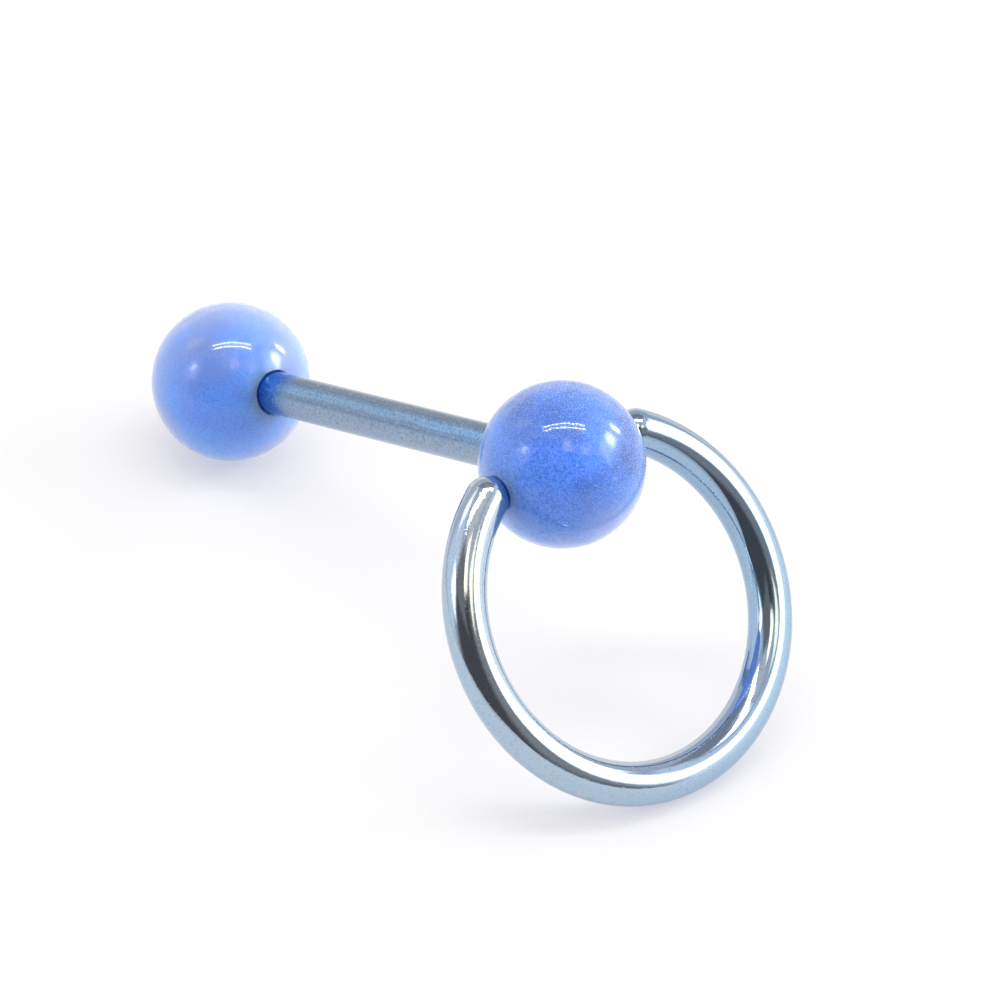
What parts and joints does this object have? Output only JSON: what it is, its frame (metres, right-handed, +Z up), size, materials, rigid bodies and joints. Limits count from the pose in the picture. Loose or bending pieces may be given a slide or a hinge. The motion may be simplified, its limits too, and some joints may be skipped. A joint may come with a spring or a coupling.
{
  "type": "door knocker tongue barbell",
  "caption": "Straight tongue barbell with a ball at each end and an open ring that swings in dimples of the front ball, propped on its rear ball and the foot of the ring.",
  "frame": {"origin": "middle of the base of the bounding box, on the surface that the barbell rests on", "axes": "+X along the axis that the ring swings about, +Y from the foot of the ring to the rear ball, +Z up from the surface"},
  "size_m": [0.0144, 0.0302, 0.013],
  "materials": {
    "bar_metal": "surgical steel with a pale ice-blue colour finish, satin, with faint turning marks round the bar",
    "ring_metal": "surgical steel with a pale ice-blue colour finish, mirror polished",
    "ball_acrylic": "polished translucent blue acrylic with fine speckle"
  },
  "bodies": {
    "rear_ball": {"rear_ball": "ball_acrylic"},
    "barbell": {"bar": "bar_metal", "front_ball": "ball_acrylic"},
    "ring": {"ring": "ring_metal"}
  },
  "joints": [
    {"name": "ball_unscrew", "type": "slide", "parent": "rear_ball", "child": "barbell", "axis": [0, -0.9387, 0.3447], "range_m": [0, 0.02]},
    {"name": "ring_swing", "type": "hinge", "parent": "barbell", "child": "ring", "pos_m": [0, -0.00687, 0.00996], "axis": [1, 0, 0], "range_deg": [-242, 100]}
  ]
}
